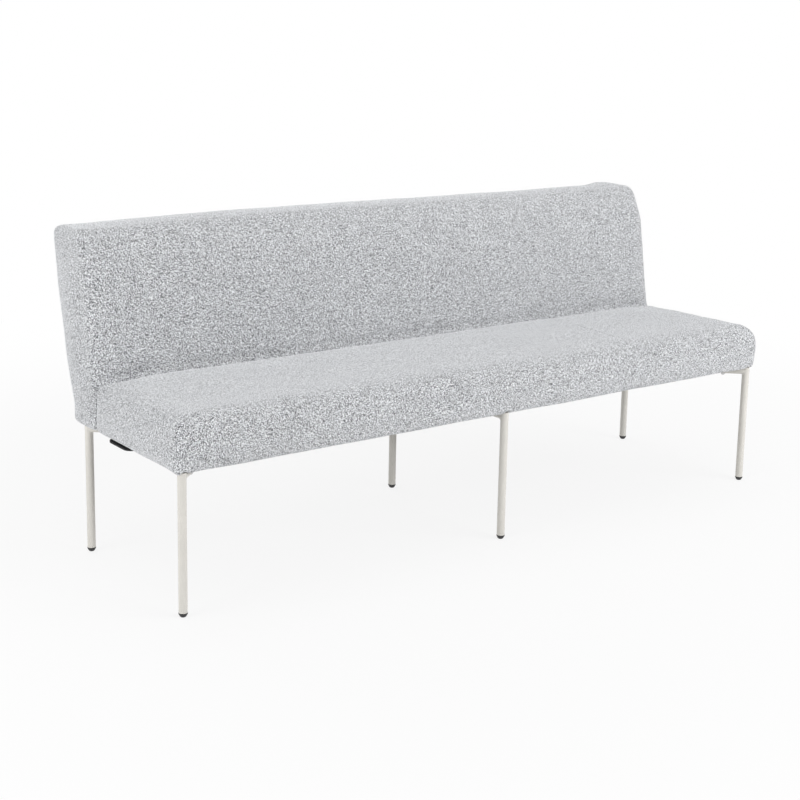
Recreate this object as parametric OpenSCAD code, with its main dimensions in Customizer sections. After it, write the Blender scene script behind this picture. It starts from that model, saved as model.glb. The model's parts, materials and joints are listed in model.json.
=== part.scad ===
// Dining sofa: an upholstered seat and back on three light tube frames.
// The frame's origin is on the floor under the middle of the sofa, +Z up, the sitter faces -Y.
// Seat, back and the tubes under them are drawn on the seat's own plane, which falls
// a little towards the back: there x runs along the sofa, y backwards and z up from the underside.

/* [Overall] */
// Length over the crowned end faces
sofa_length = 2000; // [1500:10:2400]
// Height of the seat's top above the floor, at its front edge
seat_height = 497; // [430:1:540]
// Fall of the seat towards the back, in degrees
seat_tilt = 1.15; // [0:0.05:3]
// Running gap between soft parts and their neighbours
fit_gap = 0.3; // [0.2:0.05:0.5]
// Radial play of pins, screws and plugs in their holes
hole_play = 0.25; // [0.15:0.05:0.5]

/* [Seat] */
// Depth of the seat from its front face to the back
seat_depth = 460; // [400:5:540]
// Thickness of the upholstered seat
seat_thickness = 132.5; // [120:0.5:170]
// Rounding of the front top edge
seat_front_radius = 46; // [40:1:56]
// Rounding of the top edge along the back
seat_rear_radius = 26; // [20:1:40]
// Rounding of the top edges at the two ends
seat_end_radius = 38; // [24:1:39]
// Rounding of the seat's upright corners at the front
seat_corner_radius = 18; // [12:1:19]
// Rounding of the upright corners where seat and back meet
joint_corner_radius = 6; // [4:1:10]
// Rise of the middle of the seat's top
seat_crown = 4; // [0:0.5:12]
// Fall of the seat's top from front to rear
seat_fall = 5; // [0:0.5:12]
// Swell of the front face at half its height
front_swell = 7; // [0:0.5:10]
// Swell of the end faces of seat and back
end_swell = 9; // [0:0.5:12]
// Rounding of the bottom edges of seat and back
bottom_radius = 14; // [12:1:18]
// Rounding of the bottom edges at the two ends
bottom_end_radius = 10; // [8:0.5:11]

/* [Back] */
// Height of the back above the underside of the seat
back_height = 515.5; // [440:0.5:600]
// Depth of the back at its base
back_base_depth = 131; // [120:1:150]
// Depth of the back near its top, without the rounding of its front
back_top_depth = 190; // [160:2:220]
// Swell of the back's rear face
back_rear_swell = 17; // [0:1:22]
// Lean of the back's front face from upright, in degrees
back_lean = 8.1; // [4:0.1:12]
// How far the back's front face stands behind the seat's rear edge
back_set = 2; // [1:0.5:10]
// Height over which the back's front rounds off to its top
back_brow_height = 140; // [120:2:200]
// Depth of that rounding
back_brow_depth = 55; // [50:1:85]
// Fall of the back's top towards the rear, in degrees
back_top_fall = 0.6; // [0:0.2:6]
// Rounding of the rear top edge of the back
back_rear_radius = 25; // [22:1:34]
// Rounding of the rear bottom edge of the back
back_heel_radius = 20; // [14:1:26]
// Rounding of the front upright corners of the back
back_corner_radius = 30; // [20:1:36]
// Rounding of the top edges at the back's two ends
back_end_radius = 26; // [18:1:36]
// Rounding of the rear upright corners of the back
back_rear_corner_radius = 20; // [12:1:21]

/* [Cover and foam] */
// Thickness of the woven cover
cover_thickness = 1.5; // [1:0.1:2.5]
// Flat width of the cover's hem, turned in under the frame
hem_width = 10; // [6:1:10]
// Thickness of the cloth that closes the underside
cloth_thickness = 0.8; // [0.6:0.1:1.2]
// Depth of foam in front of the back's panel
back_foam_depth = 42; // [34:1:50]
// Depth of wadding behind the back's rear panel
back_wadding_depth = 10; // [8:1:14]

/* [Tube frames] */
// Outer diameter of the steel tube
tube_diameter = 22; // [20:0.5:25]
// Wall of the steel tube
tube_wall = 1.5; // [1.2:0.1:2.5]
// Distance of the end legs' axes from the sofa's ends
leg_end_inset = 26; // [22:1:34]
// Distance of the front legs' axes from the seat's front face
leg_front_inset = 24; // [22:1:34]
// Distance of the rear legs' axes from the rear edge of the back's base
leg_rear_inset = 46; // [42:1:54]
// How far the middle frame stands to the right of the middle
middle_frame_offset = 10; // [0:1:20]
// How far each arm runs on beyond its last screw
arm_overrun = 25; // [18:1:35]
// Distance of an arm's first screw from the leg's axis
arm_first_screw = 69; // [56:1:74]
// Gap left where two steel parts meet
steel_gap = 0.1; // [0.05:0.05:0.2]

/* [Glides] */
// Height of a glide below the end of its tube
glide_height = 11; // [8:0.5:16]
// Diameter of a glide's foot on the floor
glide_foot_diameter = 16.4; // [14:0.2:19]
// How far a glide's rim stands out beyond the tube
glide_rim = 0.4; // [0.2:0.1:1]
// Height of the rim
glide_rim_height = 3; // [2:0.5:5]
// Depth of the glide's plug in the tube
glide_plug_depth = 22; // [15:1:30]

/* [Wooden frame] */
// Thickness of the seat's rails
rail_thickness = 28; // [22:1:32]
// Height of the seat's rails
rail_height = 50; // [42:1:56]
// Padding between the rails and the cover
rail_padding = 16; // [16:0.5:20]
// Width of the middle rail, which carries the middle frame
middle_rail_width = 84; // [70:1:100]
// How far the cross rails stay below the webbing
cross_rail_drop = 8; // [5:1:12]
// Distance of the outer cross rails and boards from the middle
cross_rail_offset = 490; // [350:5:500]
// Thickness of the corner plates
corner_plate_thickness = 18; // [15:1:24]
// Share of the seat's inner depth that a front corner plate takes, as it carries the arms
front_plate_share = 0.58; // [0.54:0.01:0.62]
// Share of the seat's inner depth that a rear corner plate takes
rear_plate_share = 0.3; // [0.2:0.01:0.34]
// Thickness of the back's boards
board_thickness = 18; // [15:1:24]
// Thickness of the back's two panels
panel_thickness = 4; // [3:0.5:5]
// Height of the rail that joins the back to the seat
back_rail_height = 76; // [70:1:80]
// Width of one webbing strap
strap_width = 60; // [40:5:70]
// Gap between two webbing straps
strap_gap = 58; // [40:2:80]
// Thickness of the webbing
strap_thickness = 2; // [1.5:0.1:3]

/* [Fasteners] */
// Diameter of the frame screws
screw_diameter = 6; // [5:0.5:8]
// Diameter of a screw's head
screw_head_diameter = 10.5; // [10:0.5:14]
// Height of a screw's head
screw_head_height = 3.3; // [2.5:0.1:5]
// Hexagon socket across its flats
socket_width = 4; // [3:0.5:5]
// Diameter of the washers that sit on the tubes
washer_diameter = 12.5; // [12:0.5:16]
// Thickness of those washers where they are thinnest
washer_thickness = 1; // [0.8:0.1:2]
// Outer diameter of the threaded inserts
insert_diameter = 10; // [9:0.5:12]
// Length of the threaded inserts
insert_length = 13; // [10:0.5:15]
// Length of the bolts that join seat and back
joint_bolt_length = 76; // [70:1:82]
// Length of a bay between two bolts that join seat and back
joint_bay_length = 360; // [300:10:380]

/* [Row link] */
// Distance between the link plate's pivot and its hole
link_reach = 75; // [60:1:90]
// Gap between two sofas that are linked in a row
row_gap = 8; // [6:1:14]
// Width of the link plate
link_width = 46; // [30:1:50]
// Distance of the link's pivot from the sofa's end
link_end_inset = 29; // [29:0.5:36]
// Thickness of the link plate
link_thickness = 5; // [4:0.5:6]
// Distance of the link's pivot from the seat's front face
link_pivot_depth = 296; // [240:2:320]
// Height of the bush between the plate and the seat
link_bush_height = 3.6; // [3:0.2:6]
// Diameter of the bush
link_bush_diameter = 24; // [20:1:28]
// Diameter of the stud that a neighbour's plate hooks onto
stud_diameter = 10; // [8:0.5:10]
// Length of the stud below its flange
stud_length = 20; // [16:1:24]
// Thickness of the stud's flange
stud_flange_thickness = 3; // [2:0.5:4]
// Diameter of the stud's flange
stud_flange_diameter = 30; // [24:1:32]

/* [Hidden] */
$fn = 64;

// Colours of the finishes
steel_colour = "#d3d1ca";
fabric_colour = "#c9cacc";
foam_colour = "#e9dfb8";
wood_colour = "#cda673";
panel_colour = "#a07c52";
black_colour = "#1a1c1f";
zinc_colour = "#b9bcc0";
cloth_colour = "#2e2f32";
strap_colour = "#3b3a38";

// Places on the seat's plane
half_length = sofa_length / 2;
back_front = seat_depth + fit_gap;
back_rear = back_front + back_base_depth;
leg_x = half_length - leg_end_inset;
leg_front_y = leg_front_inset;
leg_rear_y = back_rear - leg_rear_inset;
tube_radius = tube_diameter / 2;
bore_radius = tube_radius - tube_wall;
arm_axis_z = -cloth_thickness - fit_gap - tube_radius;
arm_angle = 45;

// Wooden frame of the seat
frame_base = cover_thickness + fit_gap;
rail_outer_x = half_length - end_swell - rail_padding + frame_base;
rail_front_y = front_swell + rail_padding - frame_base;
rail_rear_y = seat_depth - rail_padding + frame_base;
rail_top = frame_base + rail_height;
inner_depth = rail_rear_y - rail_front_y - 2 * rail_thickness;
strap_top = rail_top + strap_thickness;
rail_screw_share = 0.6;
rear_rail_screw_y = rail_rear_y - rail_thickness + insert_diameter * rail_screw_share;

// Wooden frame of the back
plank_front_y = back_front + rail_padding - frame_base;
plank_rear_y = back_rear - back_heel_radius + frame_base;
plank_top = frame_base + board_thickness;
back_rail_top = plank_top + back_rail_height;
board_outer_x = rail_outer_x;

// The arms are alike: the rear ones are screwed to the seat's rear rail and the back's plank,
// the front ones to their corner plates
arm_hole_far = (leg_rear_y - rear_rail_screw_y) / sin(arm_angle);
arm_holes = [arm_first_screw, arm_hole_far];
arm_length = arm_hole_far + arm_overrun;
bar_hole_front_share = 0.2;
bar_hole_middle_share = 0.7;
bar_holes = [
    seat_depth * bar_hole_front_share,
    seat_depth * bar_hole_middle_share,
    plank_front_y + rail_thickness
];

// Row link under the left end, its stud under the right end
link_x = -half_length + link_end_inset;
link_plate_top = -cloth_thickness - fit_gap - link_bush_height;
stud_x = sofa_length + row_gap + link_x - link_reach;

// Screws
hole_radius = screw_diameter / 2 + hole_play;
insert_hole_radius = (insert_diameter + hole_play) / 2;
screw_top = frame_base + insert_length;
washer_seat = arm_axis_z - tube_radius;
cut_overrun = tube_diameter;

// Steps along the soft parts
end_steps = 3;
arc_steps = 4;
edge_steps = 2;
brow_steps = 6;
span_shares = [0.5, 1];
cap_shares = [0.62, 0.28];

// Lines of the soft parts that run along the sofa, seen from its end as points [y, z, r, c]:
// r is the rounding that the point's line ends in at both ends of the sofa, c its share
// in the rise of the middle
function arc(cy, cz, r, a0, a1, steps, e0, e1) = [for (i = [0:steps])
    let (t = i / steps, a = a0 + (a1 - a0) * t)
    [cy + r * cos(a), cz + r * sin(a), e0 + (e1 - e0) * t, 0]];
function swell(t, s) = s * pow(2 * t - 1, 2);

// Seat, from its front hem around to its rear hem
seat_face_shares = [0.3, 0.5];
seat_top_shares = [0.15, 0.35, 0.55, 0.75, 0.9];
seat_hem_front = front_swell + bottom_radius + hem_width;
seat_top_front_y = seat_front_radius;
seat_top_rear_y = seat_depth - seat_rear_radius;
seat_rear_top = seat_thickness - seat_fall;
rear_end_share = 0.92;
seat_lines = concat(
    [[seat_hem_front, 0, bottom_end_radius, 0]],
    arc(
        front_swell + bottom_radius, bottom_radius, bottom_radius, 270, 180,
        edge_steps, bottom_end_radius, seat_corner_radius / 2 + bottom_end_radius / 2
    ),
    [for (t = seat_face_shares)
        [swell(t, front_swell), seat_thickness * t, seat_corner_radius, 0]],
    arc(
        seat_top_front_y, seat_thickness - seat_front_radius, seat_front_radius, 180, 90,
        arc_steps, seat_corner_radius, seat_end_radius
    ),
    [for (t = seat_top_shares) [
        seat_top_front_y + (seat_top_rear_y - seat_top_front_y) * t,
        seat_thickness - seat_fall * t + 4 * seat_crown * t * (1 - t),
        seat_end_radius, 4 * t * (1 - t)
    ]],
    arc(
        seat_top_rear_y, seat_rear_top - seat_rear_radius, seat_rear_radius, 90, 0,
        arc_steps, seat_rear_radius * rear_end_share, joint_corner_radius
    ),
    arc(
        seat_depth - bottom_radius, bottom_radius, bottom_radius, 0, -90,
        edge_steps, joint_corner_radius, bottom_end_radius
    ),
    [[seat_depth - bottom_radius - hem_width, 0, bottom_end_radius, 0]]
);

// Front, brow and rear of the back over the seat's plane
brow_z = back_height - back_brow_height;
face_y = back_front + back_set;
face_foot_z = seat_thickness - back_set / tan(back_lean);
function face_line(z) = face_y + tan(back_lean) * (z - seat_thickness);
function front_line(z) = z < brow_z
    ? face_line(max(z, face_foot_z))
    : face_line(z) + back_brow_depth * (1 - sqrt(1 - pow((z - brow_z) / back_brow_height, 2)));
tail_top = face_line(back_height) + back_top_depth;
function tail_line(z) = let (t = z / back_height)
    back_rear + (tail_top - back_rear) * t + 4 * back_rear_swell * t * (1 - t);
top_front_y = front_line(back_height);
function top_line(y) = back_height - tan(back_top_fall) * (y - top_front_y);

// Back, from its front hem around to its rear hem
back_foot_shares = [0.5, 1];
back_face_shares = [0.35, 0.7, 1];
back_top_shares = [0.3, 0.65];
back_tail_shares = [0.82, 0.66, 0.5, 0.34, 0.18];
heel_y = tail_line(back_heel_radius) - back_heel_radius;
back_top_y = tail_line(back_height) - back_rear_radius;
back_rear_hem_y = heel_y - hem_width;
back_lines = concat(
    [[back_front + bottom_radius + hem_width, 0, bottom_end_radius, 0]],
    arc(
        back_front + bottom_radius, bottom_radius, bottom_radius, 270, 180,
        edge_steps, bottom_end_radius, joint_corner_radius
    ),
    [for (t = back_foot_shares)
        let (z = face_foot_z * t, r = (back_corner_radius - joint_corner_radius) * t * t * t / 2)
        [front_line(z), z, joint_corner_radius + r, 0]],
    [for (t = back_face_shares)
        let (z = face_foot_z + (brow_z - face_foot_z) * t) [front_line(z), z, back_corner_radius, 0]],
    [for (i = [1:brow_steps])
        let (z = brow_z + back_brow_height * sin(90 * i / brow_steps)) [
            front_line(z), z,
            back_corner_radius + (back_end_radius - back_corner_radius) * i / brow_steps, 0
        ]],
    [for (t = back_top_shares)
        let (y = top_front_y + (back_top_y - top_front_y) * t)
        [y, top_line(y), back_end_radius, 0]],
    arc(
        back_top_y, top_line(back_top_y) - back_rear_radius, back_rear_radius, 90, 0,
        arc_steps, back_rear_corner_radius, back_rear_corner_radius
    ),
    [for (t = back_tail_shares)
        [tail_line(back_height * t), back_height * t, back_rear_corner_radius, 0]],
    arc(
        heel_y, back_heel_radius, back_heel_radius, 0, -90,
        edge_steps + 1, (back_rear_corner_radius + bottom_end_radius) / 2, bottom_end_radius
    ),
    [[back_rear_hem_y, 0, bottom_end_radius, 0]]
);

// Direction in which each line is drawn in, as long as a unit distance between the faces needs
function outward(p, q) = let (d = [p[1] - q[1], q[0] - p[0]]) d / norm(d);
function mitre(lines, i) = let (
    n = len(lines),
    before = outward(lines[(i + n - 1) % n], lines[i]),
    after = outward(lines[i], lines[(i + 1) % n])
) (before + after) / (1 + before * after);

// A station along the sofa: [side, share of the straight length, angle of the end's rounding,
// share of the end face]
stations = concat(
    [for (c = reversed(cap_shares)) [-1, 2, 90, c]],
    [for (i = [end_steps:-1:0]) [-1, 2, 90 * i / end_steps, 1]],
    [for (m = reversed(span_shares)) [-1, m, 0, 1]],
    [[1, 0, 0, 1]],
    [for (m = span_shares) [1, m, 0, 1]],
    [for (i = [0:end_steps]) [1, 2, 90 * i / end_steps, 1]],
    [for (c = cap_shares) [1, 2, 90, c]]
);
first_open = len(cap_shares) + end_steps + 1;
last_open = len(stations) - 1 - first_open;
edge_x = half_length - end_swell;
function sum(list, i = 0) = i == len(list) ? 0 : list[i] + sum(list, i + 1);
function centre(lines) = [for (k = [0:1]) sum([for (p = lines) p[k]]) / len(lines)];
function line_point(p, m, g, s, mid, rise) = let (
    r = max(p[2] - g, 0),
    inset = g + r * (1 - cos(s[2])),
    x = s[1] < 2
        ? s[1] * (edge_x - p[2] - hem_width / 2)
        : edge_x - p[2] + r * sin(s[2]) + end_swell * (1 - s[3] * s[3]),
    y = p[0] - inset * m[0],
    z = p[1] - inset * m[1] - p[3] * rise * pow(x / edge_x, 2)
) [s[0] * x, mid[0] + (y - mid[0]) * s[3], mid[1] + (z - mid[1]) * s[3]];
function skin(lines, g, rise) = let (mid = centre(lines), n = len(lines)) concat(
    [for (s = stations) each
        [for (i = [0:n - 1]) line_point(lines[i], mitre(lines, i), g, s, mid, rise)]],
    [[-half_length + g, mid[0], mid[1]], [half_length - g, mid[0], mid[1]]]
);

// Faces between neighbouring stations, apart from the opening between the two hems
function is_open(k, j, n, open) = open && j == n - 1 && k >= first_open && k < last_open;
function skin_faces(n, open) = let (last = len(stations) - 1, tip = len(stations) * n) concat(
    [for (k = [0:last - 1], j = [0:n - 1]) if (!is_open(k, j, n, open))
        let (i = (j + 1) % n, a = k * n, b = (k + 1) * n)
        each [[a + j, a + i, b + i], [a + j, b + i, b + j]]],
    [for (j = [0:n - 1]) [tip, (j + 1) % n, j]],
    [for (j = [0:n - 1]) [tip + 1, last * n + j, last * n + (j + 1) % n]]
);
function turned(faces, shift) = [for (f = faces) [f[2] + shift, f[1] + shift, f[0] + shift]];
function quad(a, b, c, d) = [[a, b, c], [a, c, d]];
function hem_faces(n, shift) = concat(
    [for (k = [first_open:last_open - 1]) let (a = k * n, b = a + n) each concat(
        quad(a, b, b + shift, a + shift),
        quad(b + n - 1, a + n - 1, a + n - 1 + shift, b + n - 1 + shift)
    )],
    let (a = first_open * n) quad(a + n - 1, a, a + shift, a + n - 1 + shift),
    let (a = last_open * n) quad(a, a + n - 1, a + n - 1 + shift, a + shift)
);
function reversed(list) = [for (i = [len(list) - 1:-1:0]) list[i]];
module soft_body(lines, g, rise) {
    polyhedron(skin(lines, g, rise), skin_faces(len(lines), false));
}
module soft_shell(lines, thickness, rise) {
    outer = skin(lines, 0, rise);
    faces = skin_faces(len(lines), true);
    polyhedron(
        concat(outer, skin(lines, thickness, rise)),
        concat(faces, turned(faces, len(outer)), hem_faces(len(lines), len(outer)))
    );
}

// The origin lies under the middle of the depth, so the reach of both profiles sets it
reach = [for (p = concat(seat_lines, back_lines)) p[0] * cos(seat_tilt) + p[1] * sin(seat_tilt)];
front_y = -(min(reach) + max(reach)) / 2;
base_z = seat_height - seat_thickness;

// Puts a drawing on the seat's plane
module on_seat() {
    translate([0, front_y, base_z]) rotate([-seat_tilt, 0, 0]) children();
}

// Heights above the floor, and places along Y, of points on the seat's plane
function floor_y(y, z) = front_y + y * cos(seat_tilt) + z * sin(seat_tilt);
function floor_z(y, z) = base_z + z * cos(seat_tilt) - y * sin(seat_tilt);

module tube(length) {
    difference() {
        cylinder(r = tube_radius, h = length);
        translate([0, 0, -cut_overrun]) cylinder(r = bore_radius, h = length + 2 * cut_overrun);
    }
}

// An upright leg, closed at its top, under the place y of the seat's plane
module leg(x, y) {
    top = floor_z(y, arm_axis_z) + tube_radius - fit_gap;
    color(steel_colour) translate([x, floor_y(y, arm_axis_z), glide_height]) difference() {
        cylinder(r = tube_radius, h = top - glide_height);
        translate([0, 0, -cut_overrun])
            cylinder(r = bore_radius, h = top - glide_height - tube_wall + cut_overrun);
    }
}
module leg_front_left() leg(-leg_x, leg_front_y);
module leg_front_middle() leg(middle_frame_offset, leg_front_y);
module leg_front_right() leg(leg_x, leg_front_y);
module leg_rear_left() leg(-leg_x, leg_rear_y);
module leg_rear_middle() leg(middle_frame_offset, leg_rear_y);
module leg_rear_right() leg(leg_x, leg_rear_y);

// Where an arm or the bar is cut to sit against a leg
module leg_room(x, y) {
    translate([x, floor_y(y, arm_axis_z), 0]) cylinder(r = tube_radius + steel_gap, h = seat_height);
}

// Places a drawing on the axis of an arm: side is -1 left or 1 right, way is 1 from the front
// leg or -1 from the rear leg. The arm runs along the drawing's +X.
module along_arm(side, y, way) {
    on_seat() translate([side * leg_x, y, arm_axis_z])
        rotate([0, 0, atan2(way * sin(arm_angle), -side * cos(arm_angle))]) children();
}
module arm(side, y, way) {
    color(steel_colour) difference() {
        along_arm(side, y, way) difference() {
            rotate([0, 90, 0]) tube(arm_length);
            for (s = arm_holes)
                translate([s, 0, -cut_overrun]) cylinder(r = hole_radius, h = 2 * cut_overrun);
        }
        leg_room(side * leg_x, y);
    }
}
module arm_front_left() arm(-1, leg_front_y, 1);
module arm_front_right() arm(1, leg_front_y, 1);
module arm_rear_left() arm(-1, leg_rear_y, -1);
module arm_rear_right() arm(1, leg_rear_y, -1);

// The bar of the middle frame, from leg to leg
module middle_bar() {
    color(steel_colour) difference() {
        on_seat() translate([middle_frame_offset, 0, arm_axis_z]) difference() {
            translate([0, leg_front_y, 0]) rotate([-90, 0, 0]) tube(leg_rear_y - leg_front_y);
            for (y = bar_holes)
                translate([0, y, -cut_overrun]) cylinder(r = hole_radius, h = 2 * cut_overrun);
        }
        leg_room(middle_frame_offset, leg_front_y);
        leg_room(middle_frame_offset, leg_rear_y);
    }
}

// Plastic plugs in the inner ends of the arms
plug_flange_share = 0.12;
module arm_plug() {
    flange = tube_diameter * plug_flange_share;
    rotate([0, 90, 0]) {
        cylinder(r = tube_radius, h = flange);
        translate([0, 0, -tube_radius]) cylinder(r = bore_radius - hole_play / 2, h = tube_radius + flange);
    }
}
module arm_end_plugs() {
    color(black_colour) for (side = [-1, 1]) {
        along_arm(side, leg_front_y, 1) translate([arm_length, 0, 0]) arm_plug();
        along_arm(side, leg_rear_y, -1) translate([arm_length, 0, 0]) arm_plug();
    }
}

// A glide: a tapered foot with a rim, and a plug that sits in the tube
glide_edge_share = 0.12;
module glide(x, y) {
    rim = tube_radius + glide_rim;
    foot = glide_foot_diameter / 2;
    edge = glide_foot_diameter * glide_edge_share;
    color(black_colour) translate([x, floor_y(y, arm_axis_z), 0]) rotate_extrude() polygon([
        [0, 0], [foot - edge, 0], [foot, edge], [rim, glide_height - glide_rim_height],
        [rim, glide_height], [bore_radius - hole_play / 2, glide_height],
        [bore_radius - hole_play / 2, glide_height + glide_plug_depth - edge],
        [bore_radius - edge, glide_height + glide_plug_depth], [0, glide_height + glide_plug_depth]
    ]);
}
module glide_front_left() glide(-leg_x, leg_front_y);
module glide_front_middle() glide(middle_frame_offset, leg_front_y);
module glide_front_right() glide(leg_x, leg_front_y);
module glide_rear_left() glide(-leg_x, leg_rear_y);
module glide_rear_middle() glide(middle_frame_offset, leg_rear_y);
module glide_rear_right() glide(leg_x, leg_rear_y);

// Places of the frame screws on the seat's plane: four arms with two each, and the middle bar.
// along_tubes() puts its children at each, with +X along the tube.
module along_tubes() {
    for (side = [-1, 1], s = arm_holes) {
        along_arm(side, leg_front_y, 1) translate([s, 0, -arm_axis_z]) children();
        along_arm(side, leg_rear_y, -1) translate([s, 0, -arm_axis_z]) children();
    }
    for (y = bar_holes)
        on_seat() translate([middle_frame_offset, y, 0]) rotate([0, 0, 90]) children();
}
function arm_point(side, y, way, s) = [side * (leg_x - s * cos(arm_angle)), y + way * s * sin(arm_angle)];
screw_points = concat(
    [for (side = [-1, 1], s = arm_holes) arm_point(side, leg_front_y, 1, s)],
    [for (side = [-1, 1], s = arm_holes) arm_point(side, leg_rear_y, -1, s)],
    [for (y = bar_holes) [middle_frame_offset, y]]
);

// A button-head screw with its bearing face at z = 0 and its shank upwards
module button_screw(shank) {
    difference() {
        union() {
            cylinder(r = screw_diameter / 2, h = shank);
            translate([0, 0, -screw_head_height / 2])
                cylinder(r = screw_head_diameter / 2, h = screw_head_height / 2);
            translate([0, 0, -screw_head_height])
                cylinder(r1 = socket_width, r2 = screw_head_diameter / 2, h = screw_head_height / 2);
        }
        translate([0, 0, -screw_head_height]) cylinder(
            r = socket_width / sqrt(3), h = screw_head_height / 2, $fn = 6
        );
    }
}
module leg_screws() {
    bearing = washer_seat - washer_thickness;
    color(zinc_colour) along_tubes() translate([0, 0, bearing]) button_screw(screw_top - bearing);
}
module saddle_washer() {
    difference() {
        translate([0, 0, washer_seat - washer_thickness])
            cylinder(r = washer_diameter / 2, h = tube_radius / 2);
        translate([-cut_overrun, 0, arm_axis_z]) rotate([0, 90, 0])
            cylinder(r = tube_radius + steel_gap, h = 2 * cut_overrun);
        translate([0, 0, arm_axis_z - cut_overrun]) cylinder(r = hole_radius, h = 2 * cut_overrun);
    }
}
module saddle_washers() color(zinc_colour) along_tubes() saddle_washer();
module insert_nut(length) {
    difference() {
        cylinder(r = insert_diameter / 2, h = length);
        translate([0, 0, -cut_overrun])
            cylinder(r = (screw_diameter + hole_play) / 2, h = length + 2 * cut_overrun);
    }
}
module leg_inserts() color(zinc_colour) along_tubes() translate([0, 0, frame_base])
    insert_nut(insert_length);
module insert_holes() {
    for (p = screw_points)
        translate([p[0], p[1], -cut_overrun])
            cylinder(r = insert_hole_radius, h = cut_overrun + frame_base + insert_length);
}

// A straight piece of wood between two corners
module block(low, high) translate(low) cube(high - low);

// Rails of the seat
module seat_rail(low, high) {
    color(wood_colour) on_seat() difference() {
        block(low, high);
        insert_holes();
        joint_holes();
        link_holes();
    }
}
module seat_front_rail() seat_rail(
    [-rail_outer_x, rail_front_y, frame_base],
    [rail_outer_x, rail_front_y + rail_thickness, rail_top]
);
module seat_rear_rail() seat_rail(
    [-rail_outer_x, rail_rear_y - rail_thickness, frame_base],
    [rail_outer_x, rail_rear_y, rail_top]
);
module seat_end_rail(x) seat_rail(
    [x - rail_thickness / 2, rail_front_y + rail_thickness, frame_base],
    [x + rail_thickness / 2, rail_rear_y - rail_thickness, rail_top]
);
module seat_end_rail_left() seat_end_rail(-rail_outer_x + rail_thickness / 2);
module seat_end_rail_right() seat_end_rail(rail_outer_x - rail_thickness / 2);
module seat_cross_rail(x, width) seat_rail(
    [x - width / 2, rail_front_y + rail_thickness, frame_base],
    [x + width / 2, rail_rear_y - rail_thickness, rail_top - cross_rail_drop]
);
module seat_cross_rail_left() seat_cross_rail(-cross_rail_offset, rail_thickness);
module seat_cross_rail_middle() seat_cross_rail(middle_frame_offset, middle_rail_width);
module seat_cross_rail_right() seat_cross_rail(cross_rail_offset, rail_thickness);

// Corner plates inside the rails: those at the front carry the front arms
plate_cut_share = 0.16;
module corner_plate(side, y, way, size) {
    cut = size * plate_cut_share;
    color(wood_colour) on_seat() difference() {
        translate([side * (rail_outer_x - rail_thickness), y, frame_base])
            linear_extrude(height = corner_plate_thickness) polygon([
                [0, 0], [-side * size, 0], [-side * size, way * cut],
                [-side * cut, way * size], [0, way * size]
            ]);
        insert_holes();
    }
}
module corner_plate_front_left()
    corner_plate(-1, rail_front_y + rail_thickness, 1, inner_depth * front_plate_share);
module corner_plate_front_right()
    corner_plate(1, rail_front_y + rail_thickness, 1, inner_depth * front_plate_share);
module corner_plate_rear_left()
    corner_plate(-1, rail_rear_y - rail_thickness, -1, inner_depth * rear_plate_share);
module corner_plate_rear_right()
    corner_plate(1, rail_rear_y - rail_thickness, -1, inner_depth * rear_plate_share);

// Elastic webbing, stretched from the front rail to the rear rail
module seat_webbing() {
    reach_x = rail_outer_x - rail_thickness - strap_width;
    bay = strap_width + strap_gap;
    count = floor(2 * reach_x / bay);
    color(strap_colour) on_seat() for (i = [0:count])
        translate([(i - count / 2) * bay, 0, 0]) block(
            [-strap_width / 2, rail_front_y, rail_top],
            [strap_width / 2, rail_rear_y, strap_top]
        );
}

// Foam of the seat, a cap over the wooden frame, and the cover over it
module seat_foam() {
    color(foam_colour) on_seat() difference() {
        soft_body(seat_lines, frame_base, seat_crown);
        joint_holes();
        block(
            [-rail_outer_x - fit_gap, rail_front_y - fit_gap, -cut_overrun],
            [rail_outer_x + fit_gap, rail_rear_y + fit_gap, strap_top + fit_gap]
        );
    }
}
module seat_cover() {
    color(fabric_colour) on_seat() difference() {
        soft_shell(seat_lines, cover_thickness, seat_crown);
        joint_holes();
    }
}
module cloth(yf, yr) {
    x = edge_x - bottom_end_radius;
    color(cloth_colour) on_seat() difference() {
        block([-x, yf, -cloth_thickness], [x, yr, 0]);
        for (p = screw_points)
            translate([p[0], p[1], -cut_overrun]) cylinder(r = hole_radius, h = 2 * cut_overrun);
        link_holes();
    }
}
module seat_bottom_cloth() {
    inset = front_swell + bottom_radius;
    cloth(inset, seat_depth - bottom_radius);
}

// Rails of the back: a plank at its base, a rail bolted to the seat, and a rail on top
module back_bottom_rail() {
    color(wood_colour) on_seat() difference() {
        block(
            [-board_outer_x, plank_front_y, frame_base],
            [board_outer_x, plank_rear_y, plank_top]
        );
        insert_holes();
    }
}
module back_front_rail() {
    color(wood_colour) on_seat() difference() {
        block(
            [-board_outer_x, plank_front_y, plank_top],
            [board_outer_x, plank_front_y + rail_thickness, back_rail_top]
        );
        joint_insert_holes();
    }
}

// Outline of the back's boards: its corners from the base upwards at the front, then down
board_height_share = 0.86;
board_front_shares = [0.45, 0.75];
board_rear_shares = [0.62, 0.35, 0.15];
board_top = back_height * board_height_share;
board_rear_inset = back_wadding_depth + panel_thickness + frame_base;
function board_face(z) = front_line(z) + back_foam_depth;
function board_tail(z) = tail_line(z) - board_rear_inset;
front_edge = concat(
    [[board_face(back_rail_top), back_rail_top]],
    [for (s = board_front_shares) [board_face(back_height * s), back_height * s]],
    [[board_face(board_top), board_top]]
);
front_top = front_edge[len(front_edge) - 1];
top_rear_z = board_top - tan(back_top_fall) * (board_tail(board_top) - front_top[0]);
rear_edge = concat(
    [[board_tail(top_rear_z), top_rear_z]],
    [for (s = board_rear_shares) [board_tail(back_height * s), back_height * s]]
);
board_foot = [plank_rear_y, plank_top];
module upright_slab(outline, x, width) {
    on_seat() translate([x - width / 2, 0, 0]) rotate([90, 0, 90])
        linear_extrude(height = width) polygon(outline);
}
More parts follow.
